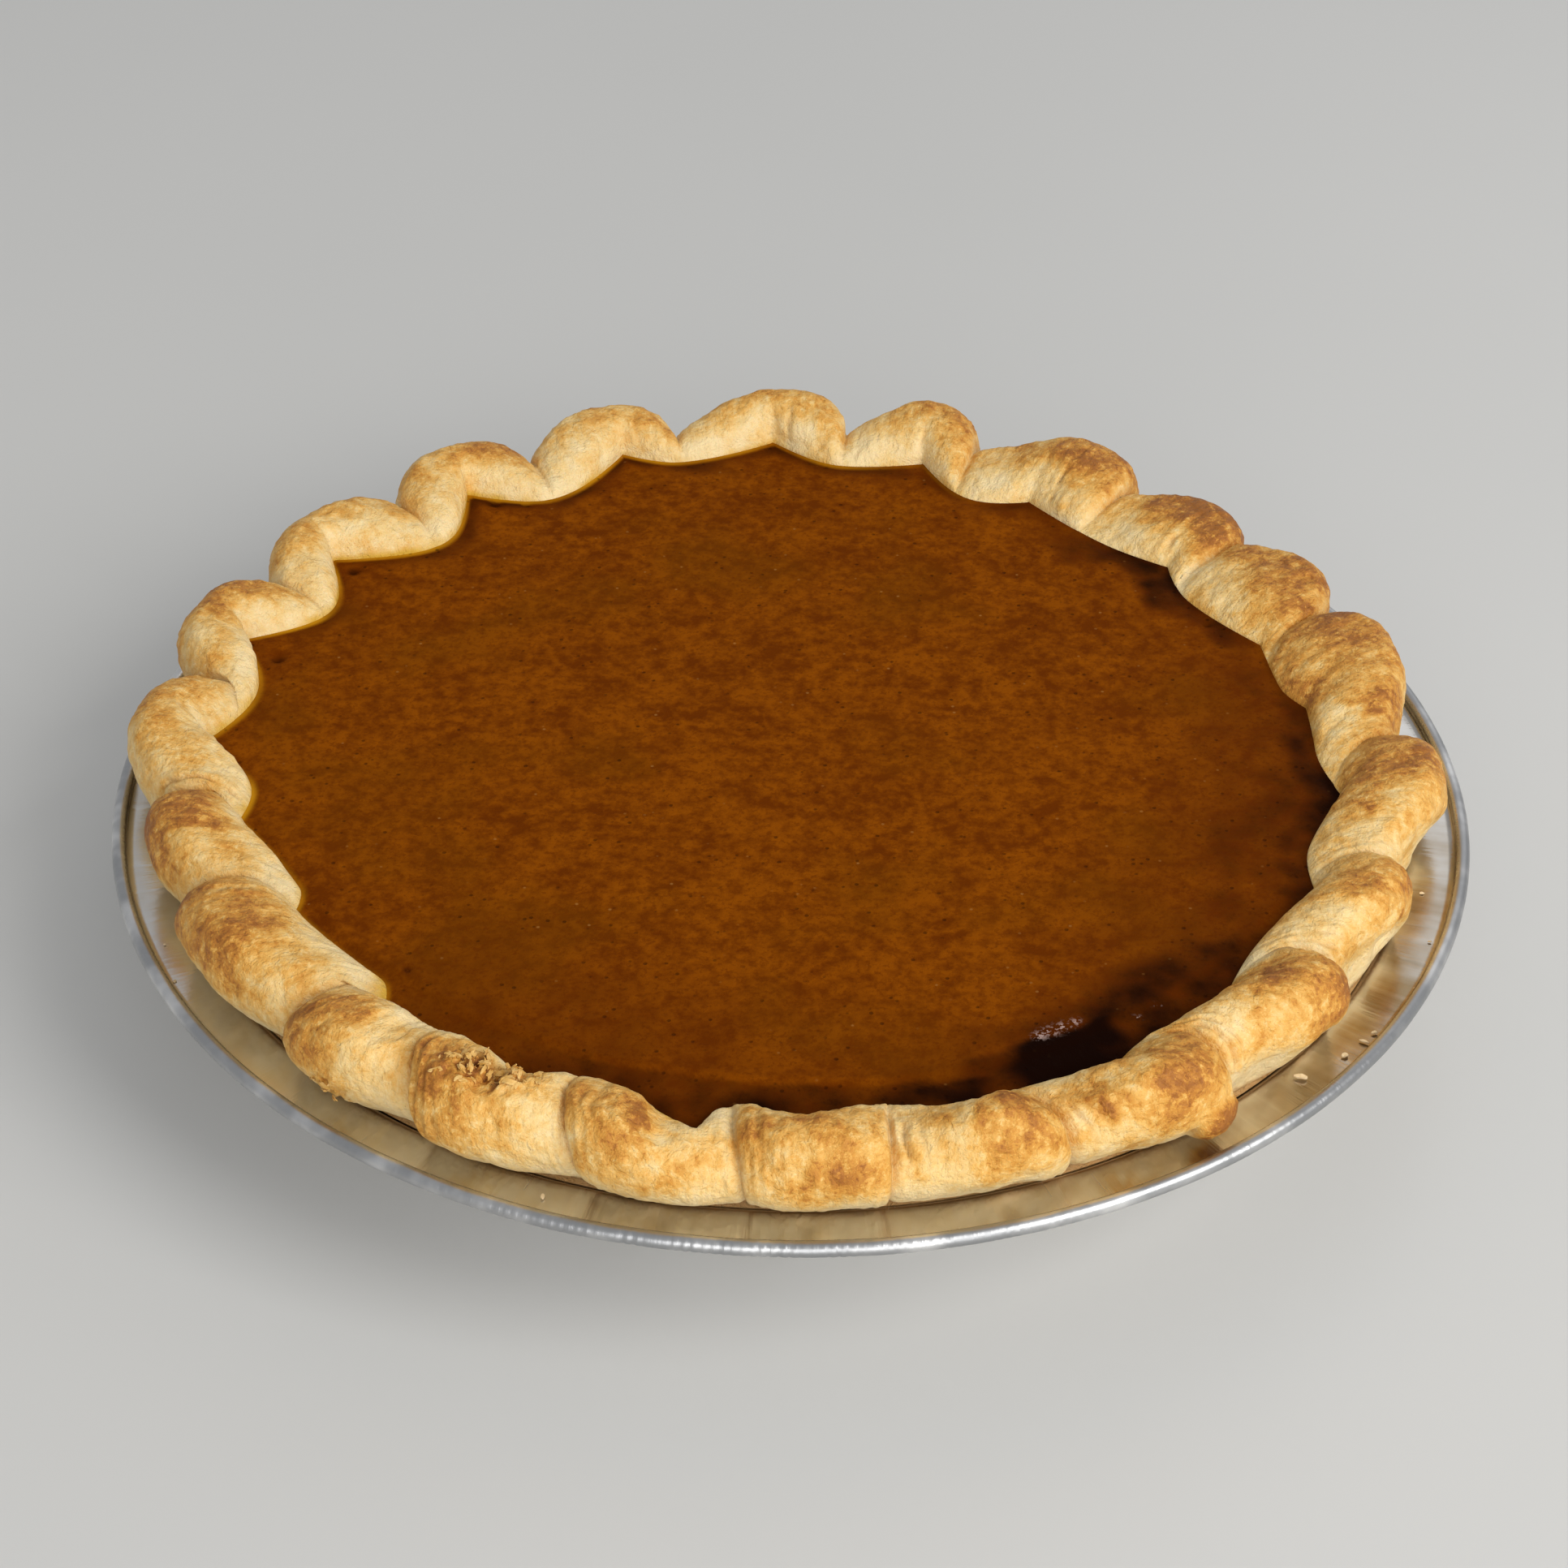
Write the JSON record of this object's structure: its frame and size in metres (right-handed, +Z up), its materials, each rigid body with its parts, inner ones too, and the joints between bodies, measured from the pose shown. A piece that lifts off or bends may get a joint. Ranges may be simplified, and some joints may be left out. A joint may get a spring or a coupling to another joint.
{
  "type": "pumpkin pie",
  "caption": "Round pumpkin pie in a shallow aluminium tin: flat brown custard inside a tall, pinched pastry rim that stands on the tin's flange.",
  "frame": {"origin": "centre of the tin's flat base, on the surface it stands on", "axes": "+Z up along the tin's axis, -Y towards the side first looked at, +X to the right of it"},
  "size_m": [0.254, 0.254, 0.0496],
  "materials": {
    "tin": "satin rolled sheet",
    "crust": "baked pastry, cream in the pinches and golden brown on the crowns",
    "filling": "set custard with a faint sheen"
  },
  "bodies": {
    "root": {"tin": "tin", "crust": "crust", "filling": "filling"}
  },
  "joints": []
}
